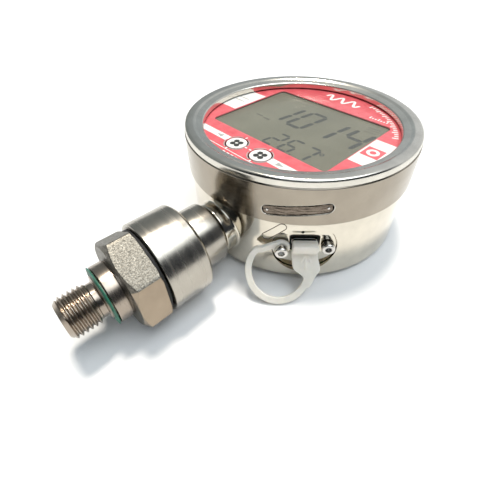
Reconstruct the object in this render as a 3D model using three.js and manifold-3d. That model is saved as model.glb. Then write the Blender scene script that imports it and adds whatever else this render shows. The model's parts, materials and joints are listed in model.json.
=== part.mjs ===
// Digital pressure gauge with two keys, a swivelling process stem and a capped service port.
// Millimetres. Origin: centre of the case's back face. +Z: out of the display. -Y: along the stem.
import * as THREE from 'three';
import { mergeVertices } from 'three/addons/utils/BufferGeometryUtils.js';
import Module from 'manifold-3d';

const wasm = await Module();
wasm.setup();

// ---------------------------------------------------------------- driving dimensions
const GAP = 0.3; // clearance between neighbouring pieces
const ROUND = 60; // facets round the case
const TURNED = 32; // facets round the stem
const SMALL = 16; // facets round small pieces
const CORNER = 3; // facets on a rounded corner

const CASE_R = 42.9;
const CASE_WALL = 2.2;
const CASE_TOP = 36.9;
const BACK_THICK = 1.5;
const BASE_CHAMFER = 0.5;

const SKIRT_R = 43.8;
const RIM_R = 43.5;
const SKIRT_THICK = 0.6;
const SKIRT_BOTTOM = 25.2;
const BEZEL_TOP = 42.0;
const LIP_R = 36.8;
const LIP_UNDER = 38.5;
const TAB_TRACK = [27.6, 34.2]; // groove round the case in which the bayonet tabs run

const SLOT_AZIMUTH = 39.3;
const SLOT_COUNT = 3;
const SLOT_LENGTH = 21.4;
const SLOT_HEIGHT = 3.9;
const SLOT_Z = 30.9;
const SLOT_RAMP = 6; // degrees

const PLATE_R = 38.6;
const PLATE_TOP = 38.0;
const PLATE_THICK = 0.5;
const LCD_WINDOW = [54.7, 41.6];
const LCD_CENTRE = [-0.4, 0.3];
const PANE = [57.2, 44];
const KEY_R = 3.9;
const KEY_X = 5.85;
const KEY_Y = -27.4;
const KEY_TOP = 38.15;
const KEY_BOTTOM = 34.3;

const CARRIER = { r: 40.4, bottom: 33.2, top: 37.2 };
const BOARD = { r: 40, bottom: 29.0, top: 30.6 };
const STANDOFF_R = 2.6;
const STANDOFF_RADIUS = 34;
const STANDOFF_AZIMUTHS = [95, 170, 245, 318];

const STEM_Z = 12.9;
const NECK_R = 9.6;
const SPIGOT_R = 7.6;
const NECK_BORE_R = 4.5;
const SLEEVE_R = 11;
const HOUSING_R = 15.7;
const HEX_ACROSS_FLATS = 28;
const HEX_TURN = 33.5; // degrees, first corner above +X
const COLLAR_R = 9.5;
const THREAD_R = 13.157 / 2; // G1/4
const THREAD_ROOT_R = 11.445 / 2;
const THREAD_PITCH = 1.337;
const UNDERCUT_R = 5.6;
const BORE_R = 1.75;
// stations along the stem, measured outwards from the case axis
const STATION = {
  neckInside: 38.5, neckEnd: 46.6, spigotEnd: 55,
  sleeveStart: 47.4, sleeveEnd: 57, housingStart: 57.3, housingFloor: 60, housingEnd: 71.7,
  gapStart: 72, gapEnd: 72.9, hexStart: 73.2, hexEnd: 81.6,
  collarEnd: 85.8, sealStart: 86.1, sealEnd: 87.1, threadStart: 89.2, threadEnd: 98.4,
};

const PORT_AZIMUTH = 44.5;
const PORT_Z = 13.5;
const POCKET_R = 11;
const POCKET_FLOOR = 39.3; // distance of the pocket's flat floor from the case axis
const PORT_FACE = 41.1;
const PORT_OPENING = { width: 10, bottom: 11.4, top: 18.6, corner: 1 };
const PORT_SCREW_REACH = 7.8;
const PORT_SCREW_Z = 14.2;
const SCREW_HEAD_HEIGHT = 2.4;
const SCREW_HEAD_R = 2.25;
const SCREW_SHANK_R = 1.2;
const LIGHT_HOLE = { u: -0.9, z: 19.8, r: 0.5 };

// ---------------------------------------------------------------- materials
const steel = (color, roughness) => new THREE.MeshStandardMaterial({ color, roughness, metalness: 1 });
const plain = (color, roughness) => new THREE.MeshStandardMaterial({ color, roughness, metalness: 0 });
const polished = steel(0xc9c3b6, 0.18);
const turned = steel(0xb9b2a4, 0.32);
const blasted = steel(0xb1aa9a, 0.5);
const screwSteel = steel(0xa8a49b, 0.25);
const redPrint = plain(0xd9404f, 0.4);
const clear = new THREE.MeshStandardMaterial({
  color: 0xdfe6e4, roughness: 0.05, metalness: 0, transparent: true, opacity: 0.35,
});
const lcdGrey = plain(0x8f8a74, 0.3);
const keyWhite = plain(0xf0efea, 0.45);
const blackPlastic = plain(0x232323, 0.6);
const blackRubber = plain(0x1b1b1b, 0.85);
const sealGreen = plain(0x2f9a6b, 0.6);
const silicone = plain(0xdedace, 0.55);
const boardGreen = plain(0x1f5b3a, 0.5);
const cellWrap = plain(0x3b5f91, 0.5);
const leadRed = plain(0x9a2f2a, 0.6);
const contact = steel(0xc8b27a, 0.35);

// ---------------------------------------------------------------- solid helpers
function toSolid(geometry) {
  const bare = geometry.clone();
  bare.deleteAttribute('normal');
  bare.deleteAttribute('uv');
  const merged = mergeVertices(bare, 1e-4);
  const source = merged.index.array;
  const triangles = [];
  for (let i = 0; i < source.length; i += 3) {
    const [a, b, c] = [source[i], source[i + 1], source[i + 2]];
    if (a !== b && b !== c && c !== a) triangles.push(a, b, c);
  }
  const position = merged.attributes.position.array;
  if (signedVolume(position, triangles) < 0) {
    for (let i = 0; i < triangles.length; i += 3) {
      [triangles[i], triangles[i + 1]] = [triangles[i + 1], triangles[i]];
    }
  }
  return new wasm.Manifold(new wasm.Mesh({
    numProp: 3,
    vertProperties: Float32Array.from(position),
    triVerts: Uint32Array.from(triangles),
  }));
}

function signedVolume(position, triangles) {
  const corner = (k) => new THREE.Vector3().fromArray(position, 3 * k);
  let volume = 0;
  for (let i = 0; i < triangles.length; i += 3) {
    const [a, b, c] = [corner(triangles[i]), corner(triangles[i + 1]), corner(triangles[i + 2])];
    volume += a.dot(b.cross(c)) / 6;
  }
  return volume;
}

function toGeometry(solid) {
  const mesh = solid.getMesh();
  const geometry = new THREE.BufferGeometry();
  geometry.setAttribute('position', new THREE.BufferAttribute(mesh.vertProperties, 3));
  geometry.setIndex(new THREE.BufferAttribute(mesh.triVerts, 1));
  geometry.computeVertexNormals();
  return geometry;
}

const lathe = (profile, facets) => new THREE.LatheGeometry(
  profile.map(([r, h]) => new THREE.Vector2(r, h)), facets);

// solid of revolution about the case axis; profile is [radius, height]
const spunOnCase = (profile, facets = ROUND) => toSolid(lathe(profile, facets).rotateX(Math.PI / 2));

// solid of revolution about the stem axis; profile is [radius, station]
const spunOnStem = (profile, facets = TURNED) => toSolid(
  lathe(profile.map(([r, station]) => [r, -station]), facets).translate(0, 0, STEM_Z));

const closed = (profile) => [...profile, profile[0]];

const arcPoints = (radius, x, y, start, turn, facets) => Array.from({ length: facets + 1 }, (_, k) => {
  const angle = start + (turn * k) / facets;
  return new THREE.Vector2(x + radius * Math.cos(angle), y + radius * Math.sin(angle));
});

function roundedRectangle(width, height, radius, x = 0, y = 0) {
  const quarter = Math.PI / 2;
  const [w, h] = [width / 2 - radius, height / 2 - radius];
  const corners = [[w, h], [-w, h], [-w, -h], [w, -h]];
  return new THREE.Shape(corners.flatMap(
    ([cx, cy], k) => arcPoints(radius, x + cx, y + cy, k * quarter, quarter, CORNER)));
}

const disc = (radius, x = 0, y = 0, facets = SMALL) => new THREE.Shape(
  arcPoints(radius, x, y, 0, 2 * Math.PI * (1 - 1 / facets), facets - 1));

// prism between two heights along local Z
const prism = (shape, low, high) => toSolid(
  new THREE.ExtrudeGeometry(shape, { depth: high - low, bevelEnabled: false }).translate(0, 0, low));

const slab = (width, depth, low, high, x = 0, y = 0) => toSolid(
  new THREE.BoxGeometry(width, depth, high - low).translate(x, y, (low + high) / 2));

const radians = THREE.MathUtils.degToRad;

// turns local (across, up, out) into the direction that faces out of the case at an azimuth
function facing(azimuth) {
  const turn = new THREE.Euler(Math.PI / 2, 0, radians(azimuth), 'ZYX');
  return new THREE.Matrix4().makeRotationFromEuler(turn);
}

const moved = (solid, matrix) => toSolid(toGeometry(solid).applyMatrix4(matrix));

const onCase = (azimuth, radius) => [
  radius * Math.sin(radians(azimuth)), -radius * Math.cos(radians(azimuth))];

// ---------------------------------------------------------------- assembly
const group = new THREE.Group();

function add(name, solid, material) {
  const mesh = new THREE.Mesh(toGeometry(solid), material);
  mesh.name = name;
  group.add(mesh);
}

const outward = facing(PORT_AZIMUTH);
const addAtPort = (name, solid, material) => add(name, moved(solid, outward), material);

// screw positions on the port plate, in (across, up)
const screwSpots = [-1, 1].map((side) => ({ u: side * PORT_SCREW_REACH, z: PORT_SCREW_Z }));

// ---- case cup: back, wall, bayonet track, stem hole and port pocket
{
  const inner = CASE_R - CASE_WALL;
  const track = CASE_R - 1;
  const cup = spunOnCase([
    [0, 0], [CASE_R - BASE_CHAMFER, 0], [CASE_R, BASE_CHAMFER],
    [CASE_R, TAB_TRACK[0]], [track, TAB_TRACK[0]], [track, TAB_TRACK[1]], [CASE_R, TAB_TRACK[1]],
    [CASE_R, CASE_TOP], [inner, CASE_TOP], [inner, BACK_THICK], [0, BACK_THICK],
  ]);
  const stemHole = spunOnStem(closed([[0, 35], [SPIGOT_R + GAP, 35], [SPIGOT_R + GAP, 46], [0, 46]]));
  const padWidth = 2 * (POCKET_R + 1.2);
  const padBottom = 0.8;
  const padHeight = 2 * (PORT_Z - padBottom);
  const padInside = POCKET_FLOOR - 1.6;
  const pad = moved(prism(roundedRectangle(padWidth, padHeight, 3, 0, PORT_Z), padInside, 42), outward)
    .intersect(spunOnCase([[0, 0.4], [CASE_R - 0.4, 0.4], [CASE_R - 0.4, 27], [0, 27]]));
  const pocket = moved(prism(disc(POCKET_R, 0, PORT_Z, TURNED), POCKET_FLOOR, 46), outward);
  const through = moved(prism(
    roundedRectangle(12, 9, 1, 0, 15), padInside - 2, 46), outward);
  add('case_cup', cup.add(pad).subtract(stemHole).subtract(pocket).subtract(through), polished);
}

// ---- bayonet bezel: rolled rim, sloping face, lip, skirt with lanced slots and inner tabs
{
  const skirtInner = SKIRT_R - SKIRT_THICK;
  let ring = spunOnCase(closed([
    [skirtInner, SKIRT_BOTTOM], [SKIRT_R, SKIRT_BOTTOM], [SKIRT_R, 38.9], [RIM_R, 39.4],
    [RIM_R, 40.5], [43.3, 41.25], [42.75, 41.8], [42.0, BEZEL_TOP], [41.0, 41.75], [38.6, 40.9],
    [37.2, 40.2], [LIP_R, 39.8], [LIP_R, LIP_UNDER], [skirtInner, LIP_UNDER],
  ]));
  const band = spunOnCase(closed([[42.3, 27], [43.4, 27], [43.4, 35], [42.3, 35]]));
  const ramp = new THREE.Matrix4().makeRotationZ(radians(SLOT_RAMP));
  const lift = new THREE.Matrix4().makeTranslation(0, SLOT_Z, 0);
  for (let k = 0; k < SLOT_COUNT; k += 1) {
    const place = facing(SLOT_AZIMUTH + (k * 360) / SLOT_COUNT).multiply(lift).multiply(ramp);
    const slot = roundedRectangle(SLOT_LENGTH, SLOT_HEIGHT, SLOT_HEIGHT / 2 - 0.01);
    const strip = roundedRectangle(SLOT_LENGTH + 3, SLOT_HEIGHT - 1.1, 0.6);
    ring = ring.subtract(moved(prism(slot, 38, 48), place));
    ring = ring.add(moved(prism(strip, 38, 48), place).intersect(band));
  }
  add('bezel_ring', ring, polished);
}

// ---- window side: gasket, printed front plate, clear pane, keys
add('window_gasket', spunOnCase(closed([
  [PLATE_R + GAP, CASE_TOP + GAP], [42.6, CASE_TOP + GAP],
  [42.6, LIP_UNDER - GAP], [PLATE_R + GAP, LIP_UNDER - GAP]])), blackRubber);
{
  const outline = disc(PLATE_R, 0, 0, ROUND);
  outline.holes.push(roundedRectangle(...LCD_WINDOW, 2, ...LCD_CENTRE));
  for (const side of [-1, 1]) outline.holes.push(disc(KEY_R + GAP, side * KEY_X, KEY_Y));
  add('front_plate', prism(outline, PLATE_TOP - PLATE_THICK, PLATE_TOP), redPrint);
}
add('lcd_pane', slab(...PANE, 36, 37.2, ...LCD_CENTRE), clear);
add('lcd_panel', slab(...PANE, 33.7, 35.7, ...LCD_CENTRE), lcdGrey);
add('lcd_contact_strip', slab(48, 2.4, BOARD.top + GAP, 33.4, 0, LCD_CENTRE[1] - 18), blackRubber);
{
  const outline = disc(CARRIER.r, 0, 0, ROUND);
  outline.holes.push(roundedRectangle(PANE[0] + 2 * GAP, PANE[1] + 2 * GAP, 1, ...LCD_CENTRE));
  for (const side of [-1, 1]) outline.holes.push(disc(KEY_R + 0.4, side * KEY_X, KEY_Y));
  add('display_carrier', prism(outline, CARRIER.bottom, CARRIER.top), blackPlastic);
}
for (const [name, side] of [['left', -1], ['right', 1]]) {
  const x = side * KEY_X;
  add(`key_${name}`, prism(disc(KEY_R, x, KEY_Y), KEY_BOTTOM, KEY_TOP), keyWhite);
  add(`key_dome_${name}`, prism(disc(3, x, KEY_Y), BOARD.top + GAP, KEY_BOTTOM - 0.7), contact);
}

// ---- electronics inside the case
add('main_board', prism(disc(BOARD.r, 0, 0, ROUND), BOARD.bottom, BOARD.top), boardGreen);
STANDOFF_AZIMUTHS.forEach((azimuth, index) => {
  const [x, y] = onCase(azimuth, STANDOFF_RADIUS);
  const post = prism(disc(STANDOFF_R, x, y), BACK_THICK + GAP, BOARD.bottom - GAP);
  add(`board_standoff_${index + 1}`, post, turned);
  const head = prism(disc(2.4, x, y), BOARD.top + GAP, BOARD.top + 1.9);
  add(`board_screw_${index + 1}`, head, screwSteel);
});
{
  const [width, depth, wall, centreY] = [46, 32, 1.2, 8];
  const shell = slab(width, depth, BACK_THICK + GAP, 9, 0, centreY);
  const hollow = slab(width - 2 * wall, depth - 2 * wall, 3, 12, 0, centreY);
  add('battery_tray', shell.subtract(hollow), blackPlastic);
  const cell = roundedRectangle(width - 2 * wall - 0.8, depth - 2 * wall - 0.8, 2, 0, centreY);
  add('battery_pack', prism(cell, 3.3, 13), cellWrap);
}

// ---- service port: plate, gasket, connector, light pipe, screws, board
{
  const { width, bottom, top, corner } = PORT_OPENING;
  const opening = () => roundedRectangle(width, top - bottom, corner, 0, (top + bottom) / 2);
  const plate = disc(POCKET_R - GAP, 0, PORT_Z, TURNED);
  const gasket = disc(POCKET_R - 0.6, 0, PORT_Z, TURNED);
  plate.holes.push(opening(), disc(LIGHT_HOLE.r, LIGHT_HOLE.u, LIGHT_HOLE.z));
  gasket.holes.push(roundedRectangle(12, 9, 1, 0, 15));
  for (const { u, z } of screwSpots) plate.holes.push(disc(SCREW_SHANK_R + GAP, u, z));
  for (const { u, z } of screwSpots) gasket.holes.push(disc(SCREW_SHANK_R + 0.25, u, z));
  addAtPort('port_plate', prism(plate, POCKET_FLOOR + 0.8, PORT_FACE), polished);
  addAtPort('port_gasket', prism(gasket, POCKET_FLOOR + 0.15, POCKET_FLOOR + 0.5), blackRubber);
  const shellZ = 15;
  const shell = roundedRectangle(9, 3.2, 1.2, 0, shellZ);
  shell.holes.push(roundedRectangle(8.2, 2.4, 0.9, 0, shellZ));
  addAtPort('connector_shell', prism(shell, 33.4, PORT_FACE - 0.9), screwSteel);
  addAtPort('connector_tongue', slab(6.6, 0.8, 33.4, PORT_FACE - 1.8, 0, shellZ), blackPlastic);
  addAtPort('port_board', slab(20, 14, 31.4, 33, 0, 13), boardGreen);
  const pipe = disc(LIGHT_HOLE.r - 0.15, LIGHT_HOLE.u, LIGHT_HOLE.z);
  addAtPort('light_pipe', prism(pipe, PORT_FACE - 0.8, PORT_FACE - 0.05), clear);
}
['left', 'right'].forEach((name, index) => {
  const { u, z } = screwSpots[index];
  const seat = index === 0 ? 43.3 : PORT_FACE + GAP;
  const head = prism(disc(SCREW_HEAD_R, u, z), seat, seat + SCREW_HEAD_HEIGHT);
  const shank = prism(disc(SCREW_SHANK_R, u, z), POCKET_FLOOR + 0.1, seat + 0.5);
  const socket = prism(disc(1.15, u, z, 6), seat + 1.1, seat + 4);
  addAtPort(`port_screw_${name}`, head.add(shank).subtract(socket), screwSteel);
});

// ---- silicone cap: eyelet on the left screw, hoop, strap and plug tab
{
  const bendStart = 11.6; // height at which the sheet starts to lean out
  const lean = radians(38);
  const sheetFace = 42.9; // mid-plane of the upright part
  const bend = (u, down) => {
    const upright = PORT_Z - bendStart;
    const below = Math.max(down - upright, 0);
    const out = sheetFace + below * Math.sin(lean);
    return new THREE.Vector3(u, PORT_Z - Math.min(down, upright) - below * Math.cos(lean), out);
  };
  const hoopCentre = [-8.6, 7.4];
  const [hoopWide, hoopLong] = [10.1, 10.5];
  const route = [bend(-10, -2.2), bend(-12.6, -1.1)];
  for (const degrees of [155, 180, 205, 235, 265, 295, 320, 340]) {
    const angle = radians(degrees);
    route.push(bend(hoopCentre[0] + hoopWide * Math.cos(angle), hoopCentre[1] - hoopLong * Math.sin(angle)));
  }
  route.push(bend(1.4, 7.6), bend(1.4, 4.6));
  const path = new THREE.CatmullRomCurve3(route);
  const hoop = toSolid(new THREE.ExtrudeGeometry(disc(0.95, 0, 0, 8), {
    steps: 34, extrudePath: path, bevelEnabled: false }));
  const { u, z } = screwSpots[0];
  const ring = disc(2.95, u, z);
  ring.holes.push(disc(SCREW_SHANK_R + GAP, u, z));
  const eyelet = prism(ring, 41.5, 43);
  const tab = prism(roundedRectangle(8.7, 6, 0.8, 0.2, 13.4), 42.25, 43.45);
  const roll = prism(roundedRectangle(8.6, 3.2, 1.2, 0.2, 15.5), 42.6, 44.4);
  const foot = bend(0.4, 4.8);
  const skirt = toSolid(new THREE.BoxGeometry(8.2, 7, 1.2).rotateX(-lean).translate(foot.x, foot.y, foot.z));
  addAtPort('port_cap', hoop.add(eyelet).add(tab).add(roll).add(skirt), silicone);
}

// ---- neck: saddle boss on the wall and the spigot on which the stem swivels
{
  const s = STATION;
  const boss = spunOnStem(closed([
    [0, 36], [NECK_R, 36], [NECK_R, s.neckEnd - 0.5], [NECK_R - 0.5, s.neckEnd], [0, s.neckEnd]]))
    .subtract(spunOnCase([[0, 0], [CASE_R + GAP, 0], [CASE_R + GAP, 30], [0, 30]]));
  const spigot = spunOnStem(closed([
    [0, s.neckInside], [SPIGOT_R, s.neckInside], [SPIGOT_R, 49.4], [6.3, 49.4], [6.3, 51.4],
    [SPIGOT_R, 51.4], [SPIGOT_R, 52.8], [6.8, 52.8], [6.8, 54], [SPIGOT_R, 54],
    [SPIGOT_R, s.spigotEnd], [0, s.spigotEnd]]));
  const bore = spunOnStem(closed([[0, 30], [NECK_BORE_R, 30], [NECK_BORE_R, 60], [0, 60]]), 24);
  add('neck_boss', boss.add(spigot).subtract(bore), polished);
  add('swivel_o_ring', spunOnStem(closed([[6.6, 49.7], [7.65, 49.7], [7.65, 51.1], [6.6, 51.1]]), 24),
    blackRubber);
  add('retaining_ring', spunOnStem(closed([[7.1, 53.1], [8.6, 53.1], [8.6, 53.7], [7.1, 53.7]]), 24),
    screwSteel);
}

// ---- stem: sleeve, sensor housing and what is inside
{
  const s = STATION;
  const clip = 9;
  add('swivel_sleeve', spunOnStem(closed([
    [SPIGOT_R + GAP, s.sleeveStart], [SLEEVE_R - 0.8, s.sleeveStart], [SLEEVE_R, s.sleeveStart + 0.8],
    [SLEEVE_R, s.sleeveEnd], [5.5, s.sleeveEnd], [5.5, 55.6], [SPIGOT_R + GAP, 55.6],
    [SPIGOT_R + GAP, 54.3], [clip, 54.3], [clip, 52.6], [SPIGOT_R + GAP, 52.6]])), turned);
  add('sensor_housing', spunOnStem(closed([
    [5.5, s.housingStart], [HOUSING_R - 1, s.housingStart], [HOUSING_R, s.housingStart + 1],
    [HOUSING_R, s.housingEnd - 0.6], [HOUSING_R - 0.6, s.housingEnd], [13, s.housingEnd],
    [13, s.housingFloor], [5.5, s.housingFloor]]), 48), turned);
  add('amplifier_board', spunOnStem(closed([[2.4, 61], [12, 61], [12, 62.4], [2.4, 62.4]]), 24),
    boardGreen);
  add('sensor_capsule', spunOnStem([
    [0, 64.6], [9.5, 64.6], [9.5, 69], [8.4, 69], [8.4, 69.4], [0, 69.4]], 28),
    turned);
  add('isolating_diaphragm', spunOnStem([[0, 69.7], [7.6, 69.7], [7.6, 69.95], [0, 69.95]], 24), contact);
  add('capsule_o_ring', spunOnStem(closed([[10, 67.4], [12.6, 67.4], [12.6, 69.2], [10, 69.2]]), 24),
    blackRubber);
  add('gap_seal', spunOnStem(closed([
    [11, s.gapStart], [14.6, s.gapStart], [14.6, s.gapEnd], [11, s.gapEnd]]), 32), blackRubber);
}

// ---- process connection: hexagon, collar, undercut and G1/4 thread
{
  const s = STATION;
  const cornerR = HEX_ACROSS_FLATS / Math.sqrt(3);
  const hexagon = new THREE.Shape();
  for (let k = 0; k < 6; k += 1) {
    const angle = radians(HEX_TURN + 60 * k);
    const [x, z] = [cornerR * Math.cos(angle), cornerR * Math.sin(angle)];
    if (k === 0) hexagon.moveTo(x, z);
    else hexagon.lineTo(x, z);
  }
  const hexLength = { depth: s.hexEnd - s.hexStart, bevelEnabled: false };
  const bar = toSolid(new THREE.ExtrudeGeometry(hexagon, hexLength)
    .rotateX(Math.PI / 2).translate(0, -s.hexStart, STEM_Z));
  const chamfer = spunOnStem([
    [0, s.hexStart - 1], [cornerR - 1, s.hexStart - 1], [cornerR + 1, s.hexStart + 0.4],
    [cornerR + 1, s.hexEnd - 2], [cornerR - 2.2, s.hexEnd], [cornerR - 2.2, s.hexEnd + 1],
    [0, s.hexEnd + 1]], 48);
  const crests = [];
  for (let y = s.threadStart + 0.4; y < s.threadEnd - 1.4; y += THREAD_PITCH) {
    crests.push([THREAD_ROOT_R, y], [THREAD_R, y + 0.45 * THREAD_PITCH], [THREAD_R, y + 0.62 * THREAD_PITCH]);
  }
  const shank = spunOnStem([
    [0, 70.7], [10.4, 70.7], [10.4, s.hexStart + 1], [8, s.hexStart + 1], [8, s.hexEnd - 1],
    [COLLAR_R - 0.3, s.hexEnd - 1], [COLLAR_R - 0.3, s.hexEnd + 0.5], [COLLAR_R, s.hexEnd + 0.8],
    [COLLAR_R, s.collarEnd], [7.2, s.collarEnd], [7.2, s.sealEnd + 0.2], [UNDERCUT_R, s.sealEnd + 0.2],
    [UNDERCUT_R, s.threadStart], ...crests, [THREAD_ROOT_R, s.threadEnd - 0.9],
    [THREAD_ROOT_R - 0.3, s.threadEnd], [0, s.threadEnd]]);
  const bore = spunOnStem([[0, 69], [7, 69], [7, 72], [BORE_R, 76], [BORE_R, 100], [0, 100]], 20);
  add('process_connection', bar.intersect(chamfer).add(shank).subtract(bore), blasted);
  add('seal_ring', spunOnStem(closed([
    [7.5, s.sealStart], [9.7, s.sealStart], [9.7, s.sealEnd - 0.3], [9.4, s.sealEnd],
    [7.5, s.sealEnd]]), 36), sealGreen);
}

// ---- signal leads from the sensor to the main board, through the neck
{
  const route = [[60, STEM_Z], [50, STEM_Z], [40, STEM_Z], [36, 14], [34, 19], [33.6, 28.4]];
  const path = new THREE.CatmullRomCurve3(route.map(([station, z]) => new THREE.Vector3(0, -station, z)));
  add('signal_leads', toSolid(new THREE.ExtrudeGeometry(disc(1.4, 0, 0, 8), {
    steps: 16, extrudePath: path, bevelEnabled: false })), leadRed);
}

export default group;
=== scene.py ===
"""Looks of the digital pressure gauge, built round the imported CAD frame."""
import json
import math

import bmesh
import bpy
from mathutils import Matrix, Vector


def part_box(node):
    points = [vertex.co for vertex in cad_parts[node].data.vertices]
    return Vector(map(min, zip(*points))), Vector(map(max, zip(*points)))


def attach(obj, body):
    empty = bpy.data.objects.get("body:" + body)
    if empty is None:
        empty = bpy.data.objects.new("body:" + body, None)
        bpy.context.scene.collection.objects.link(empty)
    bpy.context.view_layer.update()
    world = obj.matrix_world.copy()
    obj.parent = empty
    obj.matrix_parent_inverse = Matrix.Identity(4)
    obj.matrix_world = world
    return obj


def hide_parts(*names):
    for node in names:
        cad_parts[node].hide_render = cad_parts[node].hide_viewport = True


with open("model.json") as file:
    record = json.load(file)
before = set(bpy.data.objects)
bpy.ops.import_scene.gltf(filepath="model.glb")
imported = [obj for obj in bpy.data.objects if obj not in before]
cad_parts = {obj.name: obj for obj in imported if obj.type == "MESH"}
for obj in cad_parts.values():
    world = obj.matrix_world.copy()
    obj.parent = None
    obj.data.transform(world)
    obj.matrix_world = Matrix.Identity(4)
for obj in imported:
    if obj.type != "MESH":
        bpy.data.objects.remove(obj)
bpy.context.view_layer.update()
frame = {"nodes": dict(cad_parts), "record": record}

MM = 0.001
ROUND = 192  # columns round the case
TURNED = 128  # columns round the stem
TAU = 2 * math.pi


# ------------ sizes read from the frame, in mm
def span(node):
    """Lowest and highest corner of a CAD node."""
    low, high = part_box(node)
    return low / MM, high / MM


case_high = span("case_cup")[1]
bezel_low, bezel_high = span("bezel_ring")
plate_low, plate_high = span("front_plate")
pane_low, pane_high = span("lcd_pane")
panel_low = span("lcd_panel")[0]
housing_low, housing_high = span("sensor_housing")
sleeve_low, sleeve_high = span("swivel_sleeve")
neck_low = span("neck_boss")[0]
gap_low, gap_high = span("gap_seal")
joint_low = span("process_connection")[0]
seal_low, seal_high = span("seal_ring")

CASE_R, CASE_TOP = case_high.x, case_high.z
SKIRT_R, SKIRT_BOTTOM, BEZEL_TOP = bezel_high.x, bezel_low.z, bezel_high.z
RIM_R = SKIRT_R - 0.3
LIP_R, LIP_TOP = 36.8, 40.4
PLATE_R, PLATE_TOP = plate_high.x, plate_high.z
STEM_Z = (housing_low.z + housing_high.z) / 2
HOUSING_R = (housing_high.x - housing_low.x) / 2
SLEEVE_R = (sleeve_high.x - sleeve_low.x) / 2
NECK_R, NECK_FACE = 9.6, 46.6
PANE_CENTRE = (pane_low + pane_high) / 2
FOIL_OVERLAP = (2.5, 2.4)  # how much wider and higher the pane is than its window, both sides together
WINDOW = (pane_high.x - pane_low.x - FOIL_OVERLAP[0], pane_high.y - pane_low.y - FOIL_OVERLAP[1])
WINDOW_CORNER = 2.0

# port frame: u to the right, n out of the case, z up
PORT_AZIMUTH = math.radians(44.5)
PORT_U = Vector((math.cos(PORT_AZIMUTH), math.sin(PORT_AZIMUTH), 0))
PORT_N = Vector((math.sin(PORT_AZIMUTH), -math.cos(PORT_AZIMUTH), 0))
PORT_Z = 13.5


def in_port(vector):
    return Vector((vector.dot(PORT_U), vector.dot(PORT_N), vector.z))


def port_point(u, n, z):
    return PORT_U * u + PORT_N * n + Vector((0, 0, z))


def port_reach(node):
    """Centre of a node in (u, z) and its lowest and highest n."""
    corners = [in_port(v.co / MM) for v in frame["nodes"][node].data.vertices]
    low = [min(c[k] for c in corners) for k in range(3)]
    high = [max(c[k] for c in corners) for k in range(3)]
    return (low[0] + high[0]) / 2, (low[2] + high[2]) / 2, low[1], high[1]


PORT_FACE = port_reach("port_plate")[3]


# ------------ node materials
class Shader:
    """A node material with one Principled shader and a few ways to feed it."""

    def __init__(self, name, color, roughness, metallic=0.0):
        self.mat = bpy.data.materials.new(name)
        self.mat.use_nodes = True
        self.tree = self.mat.node_tree
        self.bsdf = self.tree.nodes["Principled BSDF"]
        self.bsdf.inputs["Base Color"].default_value = (*color, 1)
        self.bsdf.inputs["Roughness"].default_value = roughness
        self.bsdf.inputs["Metallic"].default_value = metallic
        self.bumps = []

    def node(self, kind):
        return self.tree.nodes.new(kind)

    def link(self, source, target):
        self.tree.links.new(source, target)

    def coords(self, stretch=(1, 1, 1)):
        """Object coordinates in millimetres, stretched."""
        place = self.node("ShaderNodeTexCoord")
        scale = self.node("ShaderNodeMapping")
        scale.inputs["Scale"].default_value = [s / MM for s in stretch]
        self.link(place.outputs["Object"], scale.inputs["Vector"])
        return scale.outputs["Vector"]

    def noise(self, scale, stretch=(1, 1, 1), detail=3.0, roughness=0.55):
        made = self.node("ShaderNodeTexNoise")
        made.inputs["Scale"].default_value = scale
        made.inputs["Detail"].default_value = detail
        made.inputs["Roughness"].default_value = roughness
        self.link(self.coords(stretch), made.inputs["Vector"])
        return made.outputs["Fac"]

    def cells(self, scale):
        made = self.node("ShaderNodeTexVoronoi")
        made.inputs["Scale"].default_value = scale
        self.link(self.coords(), made.inputs["Vector"])
        return made.outputs["Distance"]

    def spread(self, value, low, high, start=0.3, end=0.7):
        made = self.node("ShaderNodeMapRange")
        self.link(value, made.inputs["Value"])
        for key, number in (("From Min", start), ("From Max", end), ("To Min", low), ("To Max", high)):
            made.inputs[key].default_value = number
        return made.outputs["Result"]

    def tint(self, value, dark, light, start=0.3, end=0.7):
        ramp = self.node("ShaderNodeValToRGB")
        ramp.color_ramp.elements[0].position, ramp.color_ramp.elements[1].position = start, end
        ramp.color_ramp.elements[0].color = (*dark, 1)
        ramp.color_ramp.elements[1].color = (*light, 1)
        self.link(value, ramp.inputs["Fac"])
        self.link(ramp.outputs["Color"], self.bsdf.inputs["Base Color"])
        return self

    def rough(self, value, low, high, start=0.3, end=0.7):
        self.link(self.spread(value, low, high, start, end), self.bsdf.inputs["Roughness"])
        return self

    def bump(self, value, strength, depth):
        """Relief depth in millimetres, laid over the bumps already there."""
        made = self.node("ShaderNodeBump")
        made.inputs["Strength"].default_value = strength
        made.inputs["Distance"].default_value = depth * MM
        self.link(value, made.inputs["Height"])
        if self.bumps:
            self.link(self.bumps[-1].outputs["Normal"], made.inputs["Normal"])
        self.bumps.append(made)
        self.link(made.outputs["Normal"], self.bsdf.inputs["Normal"])
        return self

    def set(self, **values):
        for key, value in values.items():
            self.bsdf.inputs[key.replace("_", " ").title()].default_value = value
        return self


def shade(color, factor):
    return tuple(min(1.0, c * factor) for c in color)


def steel(name, color, roughness, grain, stretch, depth, wave=0.0):
    """Metal with soft patches, fine lines along the way it was turned and, if asked, slow waves."""
    made = Shader(name, color, roughness, 1.0)
    patches = made.noise(0.12, detail=4)
    made.tint(patches, shade(color, 0.9), shade(color, 1.07))
    made.rough(made.noise(0.5, stretch=stretch, detail=5), roughness * 0.8, roughness * 1.25)
    if wave:
        made.bump(made.noise(0.06, detail=1), wave, 1.0)
    made.bump(made.noise(grain, stretch=stretch, detail=4), 0.25, depth)
    return made.mat


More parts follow.
